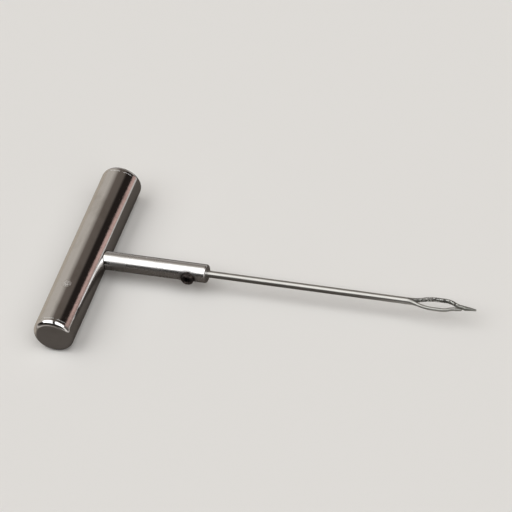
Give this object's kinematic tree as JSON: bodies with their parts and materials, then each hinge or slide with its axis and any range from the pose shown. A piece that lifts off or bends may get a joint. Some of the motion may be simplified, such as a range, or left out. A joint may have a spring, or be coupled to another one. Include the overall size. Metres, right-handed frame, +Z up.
{
  "type": "tyre plug insertion tool",
  "caption": "Hand tool for pushing plug strips into a punctured tyre: chromed round T-bar, short needle holder with a side set screw, and a replaceable needle with a split eye.",
  "frame": {"origin": "where the axis of the handle bar crosses the axis of the needle", "axes": "+X along the needle towards its point, +Y along the handle bar, +Z up, square to the plane of the T and of the eye; the set screw is on the -Y side"},
  "size_m": [0.1965, 0.1016, 0.019],
  "materials": {
    "chrome_plate": "bright chrome plate on steel, mirror polished",
    "black_oxide_steel": "black oxide, lightly oiled",
    "needle_steel": "bright drawn rod, hardened and darker towards the forged eye"
  },
  "bodies": {
    "handle": {"handle_tube": "chrome_plate", "end_plug_near": "chrome_plate", "end_plug_far": "chrome_plate", "needle_holder": "chrome_plate"},
    "screw": {"set_screw": "black_oxide_steel"},
    "needle": {"insertion_needle": "needle_steel"}
  },
  "joints": [
    {"name": "screw_back_off", "type": "slide", "parent": "handle", "child": "screw", "axis": [0, -1, 0], "range_m": [0, 0.0009]},
    {"name": "needle_draw", "type": "slide", "parent": "handle", "child": "needle", "axis": [1, 0, 0], "range_m": [0, 0.023]}
  ]
}
